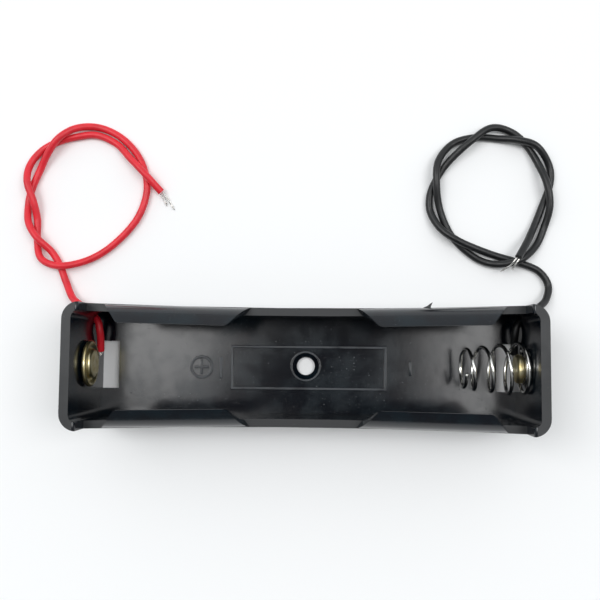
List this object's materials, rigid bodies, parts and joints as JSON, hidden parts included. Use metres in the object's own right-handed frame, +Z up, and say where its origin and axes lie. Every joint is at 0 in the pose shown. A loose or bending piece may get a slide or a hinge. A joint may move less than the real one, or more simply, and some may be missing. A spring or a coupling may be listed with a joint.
{
  "type": "cylindrical cell holder",
  "caption": "Open plastic tray for one round cell, with a fixed contact, a coil spring contact, clip-over side flaps and two coiled wire leads.",
  "frame": {"origin": "centre of the case's underside", "axes": "+X along the case towards the spring contact, +Y towards the side that the leads come out of, +Z up out of the open top"},
  "size_m": [0.0968, 0.0548, 0.0186],
  "materials": {
    "black_case": "satin moulded polypropylene, dark grey-black, with fine scratches and dust",
    "rivet_brass": "bright stamped brass",
    "spring_nickel": "nickel-plated spring wire",
    "red_insulation": "soft red insulation with a light sheen",
    "black_insulation": "soft black insulation with a light sheen",
    "tinned_copper": "tinned copper strands"
  },
  "bodies": {
    "case": {"case": "black_case", "positive_rivet": "rivet_brass", "negative_rivet": "rivet_brass", "red_lead": "red_insulation", "black_lead": "black_insulation", "red_inner_strands": "tinned_copper", "black_inner_strands": "tinned_copper", "red_tip_strands": "tinned_copper", "black_tip_strands": "tinned_copper"},
    "spring": {"contact_spring": "spring_nickel"}
  },
  "joints": [
    {"name": "spring_travel", "type": "slide", "parent": "case", "child": "spring", "axis": [1, 0, 0], "range_m": [0, 0.006], "stiffness_N_per_m": 1000, "deforming": ["contact_spring"]}
  ]
}
